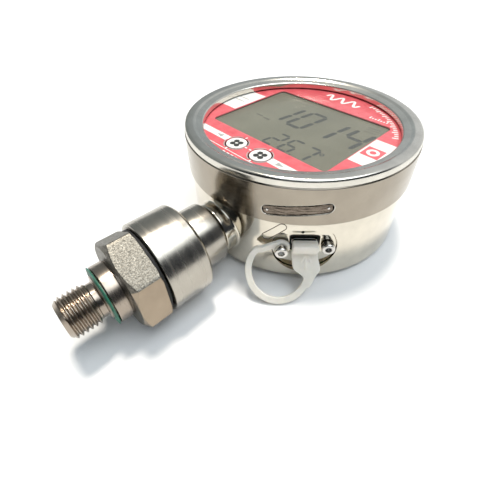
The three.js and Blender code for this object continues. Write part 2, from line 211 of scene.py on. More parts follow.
def blasted():
    """Bead-blasted bar: bright and dark specks half a millimetre apart over a dull grey."""
    made = Shader("blasted_steel", (0.17, 0.16, 0.138), 0.5, 1.0)
    made.tint(made.noise(2.4, detail=3, roughness=0.7), (0.09, 0.084, 0.07), (0.245, 0.23, 0.198), 0.36, 0.64)
    made.rough(made.noise(1.1), 0.36, 0.55)
    made.bump(made.cells(1.9), 0.3, 0.12)
    made.bump(made.noise(4.5, detail=2), 0.3, 0.06)
    return made.mat


def strip_steel():
    """Spring strip with coarse draw lines along it, light and dark brown, all darkened far below bare steel:
    painted shade of the slot it sits in.
    """
    made = Shader("shaded_tab_steel", (0.13, 0.105, 0.082), 0.24, 1.0)
    lines = made.noise(3.2, stretch=(0.1, 0.1, 1.0), detail=4)
    made.tint(lines, (0.035, 0.028, 0.023), (0.22, 0.18, 0.145), 0.36, 0.62)
    made.rough(made.noise(1.2), 0.2, 0.34)
    made.bump(made.noise(5, stretch=(0.06, 0.06, 1.0)), 0.3, 0.02)
    return made.mat


POLISHED_TINT = (0.66, 0.615, 0.525)
# skirt tint: partly a satin finish, mostly painted shade standing in for the darker, browner reflection on
# the skirt
SATIN_SHADED_TINT = (0.34, 0.30, 0.245)
TURNED_TINT = (0.43, 0.40, 0.35)
ROUND_CASE = (0.04, 0.04, 1.0)
ROUND_STEM = (0.012, 1.0, 0.012)

MATERIALS = {
    "polished_steel": steel("polished_steel", POLISHED_TINT, 0.09, 6, ROUND_CASE, 0.003, wave=0.006),
    "turned_steel": steel("turned_steel", TURNED_TINT, 0.24, 5, ROUND_STEM, 0.008),
    "blasted_steel": blasted(),
    "screw_steel": steel("screw_steel", (0.62, 0.60, 0.57), 0.2, 4, (1, 1, 1), 0.006),
    "contact_brass": steel("contact_brass", (0.72, 0.56, 0.30), 0.3, 4, (1, 1, 1), 0.006),
}
rim_steel = steel("rim_steel", (0.66, 0.635, 0.575), 0.2, 6, ROUND_CASE, 0.003, wave=0.004)
satin_shaded_steel = steel("satin_shaded_steel", SATIN_SHADED_TINT, 0.19, 5, ROUND_CASE, 0.01, wave=0.006)
shaded_tab_steel = strip_steel()
neck_steel = steel("neck_steel", POLISHED_TINT, 0.13, 6, ROUND_STEM, 0.003)
thread_steel = steel("thread_steel", (0.37, 0.315, 0.26), 0.25, 5, ROUND_STEM, 0.006)
# smoother, browner steel for one face of the hexagon: partly a milled finish, partly painted shade of that
# face
milled_shaded_steel = steel("milled_shaded_steel", (0.36, 0.29, 0.215), 0.34, 3, (0.2, 1.0, 0.2), 0.02)


def printed(name, color, haze, roughness=0.34):
    """Foil under a clear hard coat: slight orange peel, faint mottling of the ink."""
    made = Shader(name, color, roughness)
    made.tint(made.noise(0.35, detail=5), shade(color, 0.93), tuple(min(1, c + haze) for c in color))
    made.rough(made.noise(1.5), roughness * 0.8, roughness * 1.3)
    made.bump(made.noise(2.2, detail=2), 0.12, 0.02)
    made.set(coat_weight=0.35, coat_roughness=0.16)
    return made.mat


def soft(name, color, roughness, grain=1.6, depth=0.05, subsurface=0.0, spread=0.12):
    """Rubber, silicone or moulded plastic: mottled, fine moulded texture."""
    made = Shader(name, color, roughness)
    made.tint(made.noise(0.5, detail=4), shade(color, 1 - spread), shade(color, 1 + spread))
    made.rough(made.noise(2.5), roughness * 0.85, min(1, roughness * 1.15))
    made.bump(made.noise(grain, detail=4), 0.3, depth)
    if subsurface:
        made.set(subsurface_weight=subsurface, subsurface_scale=0.0012)
        made.bsdf.inputs["Subsurface Radius"].default_value = (1.0, 0.85, 0.65)
    return made.mat


MATERIALS.update({
    "red_print": printed("red_print", (0.74, 0.10, 0.12), 0.05),
    "key_white": printed("key_white", (0.86, 0.85, 0.81), 0.04, 0.4),
    "black_plastic": soft("black_plastic", (0.028, 0.028, 0.027), 0.5),
    "black_rubber": soft("black_rubber", (0.018, 0.018, 0.018), 0.7),
    "green_rubber": soft("green_rubber", (0.02, 0.17, 0.105), 0.5),
    "silicone": soft("silicone", (0.90, 0.86, 0.775), 0.4, 1.2, 0.03, subsurface=0.25, spread=0.03),
    "board_green": soft("board_green", (0.02, 0.13, 0.06), 0.4),
    "cell_wrap": soft("cell_wrap", (0.05, 0.12, 0.3), 0.35),
    "lead_red": soft("lead_red", (0.35, 0.03, 0.025), 0.5),
})
white_print = printed("white_print", (0.90, 0.89, 0.85), 0.03)
grey_print = printed("grey_print", (0.42, 0.41, 0.38), 0.03)


def display_material():
    made = Shader("lcd_grey", (0.165, 0.158, 0.11), 0.32)
    made.tint(made.noise(0.045, detail=3), (0.14, 0.133, 0.09), (0.195, 0.186, 0.13), 0.35, 0.65)
    made.bump(made.noise(9, detail=1), 0.08, 0.01)
    made.rough(made.noise(3), 0.26, 0.38)
    return made.set(coat_weight=0.15, coat_roughness=0.1).mat


def segment_material(name, color):
    made = Shader(name, color, 0.4)
    made.tint(made.noise(0.7, detail=3), shade(color, 0.85), shade(color, 1.2))
    made.bump(made.noise(6), 0.05, 0.01)
    return made.mat


def pane_material():
    made = Shader("clear_pane", (0.50, 0.52, 0.47), 0.06)
    made.rough(made.noise(0.3, detail=5), 0.03, 0.12)
    made.bump(made.noise(0.15, detail=2), 0.02, 0.05)
    made.bsdf.inputs["Alpha"].default_value = 0.07
    return made.mat


MATERIALS["lcd_grey"] = display_material()
MATERIALS["clear_pane"] = pane_material()
lit_segment = segment_material("lit_segment", (0.034, 0.036, 0.034))
faint_segment = segment_material("faint_segment", (0.115, 0.11, 0.083))

for row in frame["record"]["subparts"]:
    node = frame["nodes"][row["node"]]
    node.data.materials.clear()
    node.data.materials.append(MATERIALS[row["material_slot"]])


# ------------ making pieces
def add(name, data):
    made = bpy.data.objects.new(name, data)
    bpy.context.scene.collection.objects.link(made)
    return made


def new_object(name, points, faces):
    """Points in millimetres in the part frame."""
    mesh = bpy.data.meshes.new(name)
    mesh.from_pydata([tuple(c * MM for c in p) for p in points], [], faces)
    mesh.validate()
    mesh.update()
    return add(name, mesh)


def evaluated(piece):
    """Bakes the modifiers of a piece into its mesh."""
    graph = bpy.context.evaluated_depsgraph_get()
    mesh = bpy.data.meshes.new_from_object(piece.evaluated_get(graph))
    piece.modifiers.clear()
    piece.data = mesh
    return piece


def smooth(piece, sharp=32):
    piece.data.shade_smooth()
    piece.data.set_sharp_from_angle(angle=math.radians(sharp))


def place(piece, body, slot, material=None, stands_for=(), sharp=32):
    if sharp is not None:
        smooth(piece, sharp)
    piece.data.materials.clear()
    piece.data.materials.append(material or MATERIALS[slot])
    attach(piece, body)
    if stands_for:
        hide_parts(*stands_for)
    return piece


def rounded(profile, steps=5):
    """Profile points (r, h) or (r, h, corner radius), with the named corners rounded."""
    made = []
    for k, point in enumerate(profile):
        here = Vector(point[:2])
        if len(point) < 3 or k in (0, len(profile) - 1):
            made.append(tuple(here))
            continue
        before, after = Vector(profile[k - 1][:2]) - here, Vector(profile[k + 1][:2]) - here
        turn = before.angle(after)
        reach = min(point[2] / math.tan(turn / 2), before.length * 0.49, after.length * 0.49)
        a, b = here + before.normalized() * reach, here + after.normalized() * reach
        for step in range(steps + 1):
            t = step / steps
            made.append(tuple(a * (1 - t) ** 2 + here * (2 * t * (1 - t)) + b * t ** 2))
    return made


def spun(rows, columns, spot):
    """Rings of points; a row is (r, h), and r may be a function of the angle. spot(x, y, h) places them."""
    points, faces, rings = [], [], []
    for radius, height in rows:
        start = len(points)
        if not callable(radius) and radius < 1e-6:
            points.append(spot(0, 0, height))
            rings.append([start] * columns)
            continue
        for k in range(columns):
            angle = TAU * k / columns
            r = radius(angle) if callable(radius) else radius
            points.append(spot(r * math.cos(angle), r * math.sin(angle), height))
        rings.append(list(range(start, start + columns)))
    for lower, upper in zip(rings, rings[1:]):
        for k in range(columns):
            j = (k + 1) % columns
            face = list(dict.fromkeys((lower[k], lower[j], upper[j], upper[k])))
            if len(face) > 2:
                faces.append(face)
    return points, faces


def on_case(x, y, h):
    return (x, y, h)


def on_stem(x, y, station):
    return (x, -station, STEM_Z + y)


def solid(name, points, faces):
    """A new object with doubled points joined and every face turned outwards."""
    piece = new_object(name, points, faces)
    work = bmesh.new()
    work.from_mesh(piece.data)
    bmesh.ops.remove_doubles(work, verts=work.verts, dist=1e-7)
    bmesh.ops.recalc_face_normals(work, faces=work.faces)
    work.to_mesh(piece.data)
    work.free()
    return piece


def turned_piece(name, profile, spot, columns):
    """A profile with rounded corners, closed if it has a bore, turned about its axis."""
    rows = rounded(profile)
    if rows[0] != rows[-1] and rows[0][0] > 1e-6:
        rows.append(rows[0])
    return solid(name, *spun(rows, columns, spot))


def cut(piece, *cutters):
    """Takes the cutters out of the piece and removes them."""
    for cutter in cutters:
        step = piece.modifiers.new("cut", "BOOLEAN")
        step.operation, step.solver, step.object = "DIFFERENCE", "EXACT", cutter
    evaluated(piece)
    for cutter in cutters:
        bpy.data.objects.remove(cutter)
    return piece


def true_wall(piece, low, high):
    """Gives upright wall faces between two heights the normals of the round wall they lie on."""
    mesh = piece.data
    normals = []
    for face in mesh.polygons:
        centre = face.center
        flat = Vector((centre.x, centre.y, 0)).normalized()
        wall = abs(face.normal.z) < 0.02 and abs(face.normal.dot(flat)) > 0.995
        wall = wall and low * MM < centre.z < high * MM
        side = math.copysign(1, face.normal.dot(flat))
        for loop in face.loop_indices:
            if wall:
                co = mesh.vertices[mesh.loops[loop].vertex_index].co
                out = Vector((co.x, co.y, 0)).normalized() * side
                normals.append((out.x, out.y, 0.0))
            else:
                normals.append((0.0, 0.0, 0.0))
    mesh.normals_split_custom_set(normals)


def prism(name, outline, low, high, spot):
    """A closed outline in (a, b), drawn out from low to high; spot(a, b, c) places a point."""
    count = len(outline)
    points = [spot(a, b, c) for c in (low, high) for a, b in outline]
    faces = [list(range(count))[::-1], list(range(count, 2 * count))]
    faces += [[k, (k + 1) % count, count + (k + 1) % count, count + k] for k in range(count)]
    return solid(name, points, faces)


def disc(radius, x=0.0, y=0.0, count=96):
    return [(x + radius * math.cos(TAU * k / count), y + radius * math.sin(TAU * k / count))
            for k in range(count)]


def box_outline(width, height, corner, x=0.0, y=0.0, steps=6):
    made = []
    for k, (sx, sy) in enumerate(((1, 1), (-1, 1), (-1, -1), (1, -1))):
        cx, cy = x + sx * (width / 2 - corner), y + sy * (height / 2 - corner)
        for step in range(steps + 1):
            angle = math.pi / 2 * (k + step / steps)
            made.append((cx + corner * math.cos(angle), cy + corner * math.sin(angle)))
    return made


def plate(name, outlines, low, high, bevel=0.0, spot=on_case):
    """A flat plate from a closed outline and its holes, with bevelled edges; spot places a point."""
    curve = bpy.data.curves.new(name, "CURVE")
    curve.dimensions, curve.fill_mode = "2D", "BOTH"
    curve.extrude = (high - low) / 2 - bevel
    curve.bevel_depth, curve.bevel_resolution, curve.offset = bevel, 2, -bevel
    for outline in outlines:
        spline = curve.splines.new("POLY")
        spline.points.add(len(outline) - 1)
        for point, (a, b) in zip(spline.points, outline):
            point.co = (a, b, 0, 1)
        spline.use_cyclic_u = True
    source = add(name + "_curve", curve)
    bpy.context.view_layer.update()
    mesh = bpy.data.meshes.new_from_object(source.evaluated_get(bpy.context.evaluated_depsgraph_get()))
    middle = (low + high) / 2
    points = [spot(v.co.x, v.co.y, v.co.z + middle) for v in mesh.vertices]
    faces = [list(p.vertices) for p in mesh.polygons]
    bpy.data.objects.remove(source)
    return solid(name, points, faces)


def port_spot(u, z, n):
    return tuple(port_point(u, n, z))


# ------------ case cup
def make_case():
    """A cup with the bezel's track turned into its wall, a port pocket and a hole for the stem."""
    inner, track = CASE_R - 2.2, CASE_R - 1
    beyond = 60
    case = turned_piece("case_shell", [
        (0, 0), (CASE_R, 0, 0.9), (CASE_R, 27.6), (track, 27.6), (track, 34.2), (CASE_R, 34.2),
        (CASE_R, CASE_TOP, 0.4), (inner, CASE_TOP, 0.3), (inner, 1.5, 1.0), (0, 1.5)], on_case, ROUND)
    pocket = prism("pocket_tool", disc(11, 0, PORT_Z), PORT_FACE - 1.4, beyond, port_spot)
    stem_hole = prism("stem_tool", disc(7.9, 0, STEM_Z), 30, beyond, lambda a, b, c: (a, -c, b))
    cut(case, pocket, stem_hole)
    place(case, "case", "polished_steel", stands_for=["case_cup"])
    true_wall(case, 0.9, 27.5)


# ------------ bezel
SLOT_AZIMUTH, SLOT_COUNT, SLOT_LENGTH, SLOT_HEIGHT, SLOT_Z = 39.6, 3, 22.4, 4.1, 30.9
SLOT_RAMP = math.radians(6)


def slot_spot(azimuth):
    """(along, up, radius) round the skirt at an azimuth, along a ramp, to a point."""
    def spot(along, up, radius):
        a = along * math.cos(SLOT_RAMP) - up * math.sin(SLOT_RAMP)
        z = SLOT_Z + along * math.sin(SLOT_RAMP) + up * math.cos(SLOT_RAMP)
        angle = azimuth + a / SKIRT_R
        return (radius * math.sin(angle), -radius * math.cos(angle), z)
    return spot


def stadium(length, height, steps=10):
    """A long hole with round ends."""
    radius = height / 2
    made = []
    for side in (1, -1):
        for step in range(steps + 1):
            angle = -math.pi / 2 + math.pi * step / steps
            along = length / 2 - radius + radius * math.cos(angle)
            made.append((side * along, side * radius * math.sin(angle)))
    return made


def dense(outline, step):
    """The same closed outline with points no more than a step apart."""
    made = []
    for (ax, ay), (bx, by) in zip(outline, outline[1:] + outline[:1]):
        count = max(1, math.ceil(math.hypot(bx - ax, by - ay) / step))
        made += [(ax + (bx - ax) * k / count, ay + (by - ay) * k / count) for k in range(count)]
    return made


def swept(name, path, normals, radius, sides=8):
    """A closed bead of round section along points, in mm."""
    count = len(path)
    points, faces = [], []
    for k in range(count):
        ahead = (Vector(path[(k + 1) % count]) - Vector(path[k - 1])).normalized()
        out = Vector(normals[k])
        across = ahead.cross(out).normalized()
        for s in range(sides):
            angle = TAU * s / sides
            points.append(Vector(path[k]) + (out * math.cos(angle) + across * math.sin(angle)) * radius)
    for k in range(count):
        j = (k + 1) % count
        for s in range(sides):
            t = (s + 1) % sides
            faces.append([k * sides + s, j * sides + s, j * sides + t, k * sides + t])
    return solid(name, points, faces)


def make_bezel():
    """A thin skirt with its slots cut through, and above a groove the rolled rim down to its lip."""
    inside, groove, foot = SKIRT_R - 0.65, 39.2, 38.5
    skirt = turned_piece("bezel_skirt", [
        (inside, SKIRT_BOTTOM, 0.15), (SKIRT_R, SKIRT_BOTTOM, 0.25), (SKIRT_R, groove - 0.3, 0.3),
        (SKIRT_R - 0.35, groove), (inside, groove)], on_case, ROUND)
    rim = turned_piece("bezel_rim", [
        (inside + 0.1, 39.25), (RIM_R, 39.25, 0.25), (RIM_R, BEZEL_TOP, 2.4), (40.3, BEZEL_TOP - 0.12, 1.2),
        (39.3, 41.35, 0.8), (LIP_R + 0.35, LIP_TOP + 0.35, 0.3), (LIP_R, LIP_TOP, 0.25), (LIP_R, foot, 0.12),
        (38.4, foot), (inside + 0.1, foot)], on_case, ROUND)
    azimuths = [math.radians(SLOT_AZIMUTH + 360 * k / SLOT_COUNT) for k in range(SLOT_COUNT)]
    outline = dense(stadium(SLOT_LENGTH, SLOT_HEIGHT), 0.5)
    tools = [prism(f"slot_tool_{k}", outline, 41, 47, slot_spot(a)) for k, a in enumerate(azimuths)]
    cut(skirt, *tools)
    # the skirt takes steel half as bright and browner than the rim's: partly satin, mostly painted shade of
    # its darker reflection
    place(skirt, "bezel", "polished_steel", satin_shaded_steel, ["bezel_ring"])
    true_wall(skirt, SKIRT_BOTTOM + 0.3, foot)
    place(rim, "bezel", "polished_steel", rim_steel, ["bezel_ring"])
    for k, azimuth in enumerate(azimuths):
        spot = slot_spot(azimuth)
        path = [spot(a, b, SKIRT_R - 0.22) for a, b in outline]
        out = [Vector((p[0], p[1], 0)).normalized() for p in path]
        lip = swept(f"slot_lip_{k + 1}", path, out, 0.2)
        place(lip, "bezel", "polished_steel", rim_steel)
        make_tab(k + 1, spot)


def make_tab(number, spot):
    """The bayonet strip seen in a slot, with a small weld dot near each end."""
    length, height, columns = SLOT_LENGTH - 1.3, SLOT_HEIGHT - 1.1, 60
    points, faces = [], []
    rows = 8
    for layer in (43.42, 43.0):
        for c in range(columns + 1):
            along = -length / 2 + length * c / columns
            reach = abs(along) - (length / 2 - 0.6)
            half = height / 2 - (0.6 - math.sqrt(max(0.0, 0.36 - reach ** 2)) if reach > 0 else 0)
            for r in range(rows + 1):
                points.append(spot(along, half * (2 * r / rows - 1) - 0.22, layer))
    size = (columns + 1) * (rows + 1)
    for layer in (0, 1):
        for c in range(columns):
            for r in range(rows):
                k = layer * size + c * (rows + 1) + r
                face = [k, k + rows + 1, k + rows + 2, k + 1]
                faces.append(face if layer == 0 else face[::-1])
    edge = [c * (rows + 1) for c in range(columns + 1)]
    edge += [columns * (rows + 1) + r for r in range(1, rows + 1)]
    edge += [c * (rows + 1) + rows for c in range(columns - 1, -1, -1)]
    edge += range(rows - 1, 0, -1)
    for a, b in zip(edge, edge[1:] + edge[:1]):
        faces.append([a, b, b + size, a + size])
    tab = solid(f"bayonet_tab_{number}", points, faces)
    # the strip's very dark steel is painted shade of the slot, over real draw lines
    place(tab, "bezel", "polished_steel", shaded_tab_steel)
    for side, name in ((-1, "a"), (1, "b")):
        middle = Vector(spot(side * (length / 2 - 1.2), -0.1, 43.38))
        out = Vector((middle.x, middle.y, 0)).normalized()
        across = Vector((0, 0, 1)).cross(out)
        dome = rounded([(0, 0.28), (0.42, 0.28, 0.2), (0.5, -0.15)])
        bead = solid(f"tab_dot_{number}_{name}", *spun(
            dome, 20, lambda x, y, h: tuple(middle + across * x + Vector((0, 0, y)) + out * h)))
        place(bead, "bezel", "polished_steel", MATERIALS["screw_steel"])


# ------------ front plate, prints, display, keys
def print_piece(name, outlines, material=None, lift=0.02):
    """A film of ink whose top lies lift above the plate."""
    piece = plate(name, outlines, PLATE_TOP + lift - 0.015, PLATE_TOP + lift)
    place(piece, "case", "red_print", material or white_print, sharp=None)


def band(x_low, x_high, y_low, y_high, radius):
    """A rectangle whose sides stop at the round edge of the plate."""
    steps = 24
    levels = [y_low + (y_high - y_low) * k / steps for k in range(steps + 1)]
    edge = [math.sqrt(radius ** 2 - y ** 2) for y in levels]
    right = [(min(x_high, e), y) for e, y in zip(edge, levels)]
    left = [(max(x_low, -e), y) for e, y in zip(edge, levels)]
    return right + left[::-1]


def stroke(points, width):
    """A line of even width along points, as one outline."""
    left, right = [], []
    for k, point in enumerate(points):
        a, b = points[max(0, k - 1)], points[min(len(points) - 1, k + 1)]
        ahead = Vector((b[0] - a[0], b[1] - a[1])).normalized()
        side = Vector((-ahead.y, ahead.x)) * width / 2
        left.append((point[0] + side.x, point[1] + side.y))
        right.append((point[0] - side.x, point[1] - side.y))
    return left + right[::-1]


def make_front():
    key_left, key_right = span("key_left"), span("key_right")
    keys = [(low + high) / 2 for low, high in (key_left, key_right)]
    key_r = (key_left[1].x - key_left[0].x) / 2
    window = box_outline(*WINDOW, WINDOW_CORNER, PANE_CENTRE.x, PANE_CENTRE.y)
    holes = [disc(key_r + 0.3, k.x, k.y) for k in keys]
    foil = plate("front_foil", [disc(PLATE_R, count=ROUND), window, *holes],
                 plate_low.z, PLATE_TOP, 0.08)
    place(foil, "case", "red_print", stands_for=["front_plate"])
    edge_left, edge_right = PANE_CENTRE.x - WINDOW[0] / 2, PANE_CENTRE.x + WINDOW[0] / 2
    outer, beyond = PLATE_R - 0.25, 40
    strip = (-28.9, -25.8)
    print_piece("print_bands", [
        band(-beyond, edge_left - 0.45, -8.4, 10.1, outer), band(edge_right + 0.35, beyond, -9.0, 9.4, outer),
        band(-beyond, -10.4, *strip, outer), band(10.1, beyond, *strip, outer)])
    dashes = [stroke([(x, -34.2), (x + 1.3, -34.2)], 0.7) for x in (-5.4, -3.4, -1.4, 0.6, 2.6)]
    print_piece("print_line", [stroke([(-17, -32.7), (13, -32.7)], 0.3), *dashes])
    wave = [(-9.6 + 17 * k / 60, 30.3 + 2.5 * math.sin(TAU * 3 * k / 60)) for k in range(61)]
    print_piece("print_wave", [stroke(wave, 1.15)])
    print_piece("print_range_marks", [stroke([(x, 23.2), (x, 23.2 + h)], 0.55) for x, h in zip(
        (16.2, 17.4, 18.6, 19.8, 21.0, 22.2, 23.4), (1.8, 1.1, 1.1, 1.8, 1.1, 1.1, 1.8))])
    marks = []
    for k in range(19):
        angle = math.radians(71 - 2.55 * k)
        deep = 1.5 if k % 3 else 2.2
        marks.append(stroke([(r * math.cos(angle), r * math.sin(angle)) for r in (35.9, 35.9 - deep)], 0.7))
    print_piece("print_rim_marks", marks)
    levels = [stroke([(-36.4, y), (-31, y)], 0.45) for y in (2.3, -0.6)]
    print_piece("print_level_marks", levels, grey_print, 0.04)
    print_piece("print_square", [box_outline(6.5, 6.5, 0.2, 31.2, 0.2)], MATERIALS["red_print"], 0.04)
    print_piece("print_square_ring", [disc(2.2, 31.2, 0.2, 48), disc(1.1, 31.2, 0.2, 48)], white_print, 0.06)
    print_piece("print_arrows", [[(-16.4, -27.35), (-13.4, -26.3), (-13.4, -28.4)],
                                 [(16.2, -27.35), (13.2, -26.3), (13.2, -28.4)]], grey_print, 0.04)
    for name, middle in zip(("left", "right"), keys):
        make_key(name, middle, key_r)


def make_key(name, middle, radius):
    """A domed key with four dots, and round it the arcs and ticks printed on the plate."""
    def around(r, angle):
        return (middle.x + r * math.cos(angle), middle.y + r * math.sin(angle))

    low, high = span(f"key_{name}")
    rows = rounded([
        (0, low.z), (radius - 0.15, low.z, 0.2), (radius - 0.15, high.z, 0.35),
        (radius - 1.0, high.z - 0.02, 0.3), (radius - 1.45, high.z - 0.14, 0.2), (0, high.z - 0.14)])
    cap = solid(f"key_cap_{name}", *spun(rows, 72, lambda x, y, h: (middle.x + x, middle.y + y, h)))
    place(cap, f"key_{name}", "key_white", stands_for=[f"key_{name}"])
    petals = [disc(1.0, *around(1.42, math.radians(45 + 90 * k)), 32) for k in range(4)]
    top = high.z - 0.13
    dots = plate(f"key_petals_{name}", petals, top - 0.02, top + 0.02)
    place(dots, f"key_{name}", "key_white", MATERIALS["black_plastic"], sharp=None)
    arcs, ticks = [], []
    for k in range(4):
        start = math.radians(90 * k + 14)
        path = [start + math.radians(62) * s / 14 for s in range(15)]
        arcs.append(stroke([around(4.45, a) for a in path], 0.34))
        ticks.append(stroke([around(r, math.pi / 2 * k) for r in (4.3, 5.3)], 0.6))
    print_piece(f"print_key_arcs_{name}", arcs, grey_print, 0.05)
    print_piece(f"print_key_ticks_{name}", ticks, white_print, 0.06)


SEGMENTS = {"0": "abcdef", "1": "bc", "2": "abged", "4": "fgbc", "6": "acdefg", "7": "abc"}


def digit(char, x, y, height, width, thick, slant):
    """Seven-segment strokes of one digit whose middle column is at x and foot at y."""
    h, w, half, gap = height - thick, width, thick / 2, 0.22
    ends = {"a": (0, h, w, h), "b": (w, h, w, h / 2), "c": (w, h / 2, w, 0), "d": (0, 0, w, 0),
            "e": (0, 0, 0, h / 2), "f": (0, h / 2, 0, h), "g": (0, h / 2, w, h / 2)}
    made = []
    for name in SEGMENTS[char]:
        ax, ay, bx, by = ends[name]
        ahead = Vector((bx - ax, by - ay)).normalized()
        side = Vector((-ahead.y, ahead.x)) * half
        a, b = Vector((ax, ay)) + ahead * gap, Vector((bx, by)) - ahead * gap
        shape = [a, a + ahead * half + side, b - ahead * half + side, b, b - ahead * half - side,
                 a + ahead * half - side]
        made.append([(x - w / 2 + p.x + slant * (p.y - h / 2), y + half + p.y) for p in shape])
    return made


def make_display():
    """Reflective panel just under its clear pane, flush in the foil's window."""
    top, clear = PLATE_TOP - 0.7, 0.08
    outline = box_outline(WINDOW[0] - clear, WINDOW[1] - clear, WINDOW_CORNER, PANE_CENTRE.x, PANE_CENTRE.y)
    panel = plate("display_panel", [outline], panel_low.z, top, 0.1)
    place(panel, "case", "lcd_grey", stands_for=["lcd_panel"])
    pane = plate("display_pane", [outline], top + clear, PLATE_TOP - clear, 0.12)
    place(pane, "case", "clear_pane", stands_for=["lcd_pane"])
    shapes = []
    slant = 0.14
    for k, char in enumerate("1014"):
        shapes += digit(char, -11.45 + 10.83 * k, -3.25, 16.7, 6.8, 1.7, slant)
    for k, char in enumerate("267"):
        shapes += digit(char, 1.18 + 6.99 * k, -19.77, 10.3, 4.37, 1.12, slant)
    shapes.append(disc(0.35, 11.5, -19.2, 16))
    lit = plate("display_digits", shapes, top + 0.01, top + 0.03)
    place(lit, "case", "lcd_grey", lit_segment, sharp=None)
    ring = plate("display_degree_ring", [disc(0.9, 19.4, -11.8, 28), disc(0.45, 19.4, -11.8, 28)],
                 top + 0.01, top + 0.03)
    place(ring, "case", "lcd_grey", lit_segment, sharp=None)
    faint = [stroke([(19.7, y), (24.8, y + 0.3)], 0.7) for y in (13.4, 15.4, 17.1)]
    faint += [stroke([(-19.3, -4.2), (-16, -4.2)], 0.9), stroke([(-14.9, -4.8), (-11.7, -4.8)], 1.1)]
    ghost = plate("display_faint_segments", faint, top + 0.008, top + 0.02)
    place(ghost, "case", "lcd_grey", faint_segment, sharp=None)


# ------------ neck and stem
def make_neck():
    """A round boss on the case's wall, with a fillet run round its foot."""
    end = -neck_low.y
    neck = turned_piece("neck_collar", [
        (4.5, 38.5), (NECK_R, 38.5), (NECK_R, NECK_FACE, 0.45), (7.6, NECK_FACE, 0.1),
        (7.6, end), (4.5, end)], on_stem, TURNED)
    place(neck, "case", "polished_steel", neck_steel, ["neck_boss"])
    points, faces = [], []
    steps, foot = 8, 0.9
    size = steps + 1
    for k in range(TURNED):
        angle = TAU * k / TURNED

        def wall(radius):
            x = radius * math.cos(angle)
            return Vector((x, -math.sqrt(CASE_R ** 2 - x ** 2), STEM_Z + radius * math.sin(angle)))

        corner = wall(NECK_R)
        top = corner + Vector((0, -foot, 0))
        base = wall(NECK_R + foot)
        for t in (step / steps for step in range(size)):
            points.append(top * (1 - t) ** 2 + corner * (2 * t * (1 - t)) + base * t ** 2)
    for k in range(TURNED):
        j = (k + 1) % TURNED
        faces += [[k * size + s, j * size + s, j * size + s + 1, k * size + s + 1] for s in range(steps)]
    fillet = solid("neck_fillet", points, faces)
    place(fillet, "case", "polished_steel", neck_steel, ["neck_boss"])


def make_stem():
    s0, s1 = -sleeve_high.y, -sleeve_low.y
    sleeve = turned_piece("sleeve_body", [
        (8.0, s0), (SLEEVE_R - 0.6, s0, 0.2), (SLEEVE_R, s0 + 0.6, 0.4), (SLEEVE_R, s1, 0.15), (5.5, s1),
        (5.5, 55.6), (8.0, 55.6)], on_stem, TURNED)
    place(sleeve, "stem", "turned_steel", stands_for=["swivel_sleeve"])
    h0, h1 = -housing_high.y, -housing_low.y
    housing = turned_piece("housing_body", [
        (5.5, h0), (HOUSING_R - 0.9, h0, 0.5), (HOUSING_R, h0 + 0.9, 0.6), (HOUSING_R, h1, 0.35),
        (13, h1, 0.1), (13, 60), (5.5, 60)], on_stem, TURNED)
    place(housing, "stem", "turned_steel", stands_for=["sensor_housing"])
    g0, g1 = -gap_high.y, -gap_low.y
    ring = turned_piece("gap_ring", [(11, g0), (14.2, g0, 0.15), (14.2, g1, 0.15), (11, g1)], on_stem, TURNED)
    place(ring, "stem", "black_rubber", stands_for=["gap_seal"])
    q0, q1 = -seal_high.y, -seal_low.y
    seal = turned_piece("seal_band", [
        (7.5, q0 + 0.35), (9.62, q0 + 0.35, 0.15), (9.62, q1 - 0.35, 0.3), (7.5, q1, 0.2)], on_stem, TURNED)
    place(seal, "stem", "green_rubber", stands_for=["seal_ring"])


HEX_HALF = 14.0
HEX_TURN = math.radians(33.5)
HEX_START, HEX_END = 72.95, 81.6
MILLED_SHADED_FROM, MILLED_SHADED_TO = -0.46, 0.58  # angles of the face round the stem given the smoother, browner steel: partly a milled finish, partly painted shade
THREAD_R, ROOT_R, PITCH = 13.157 / 2, 11.445 / 2, 1.337
THREAD_START = 89.2
COLLAR_R, COLLAR_END = 9.5, 86.1
BORE_R, UNDERCUT_R = 1.75, 5.6


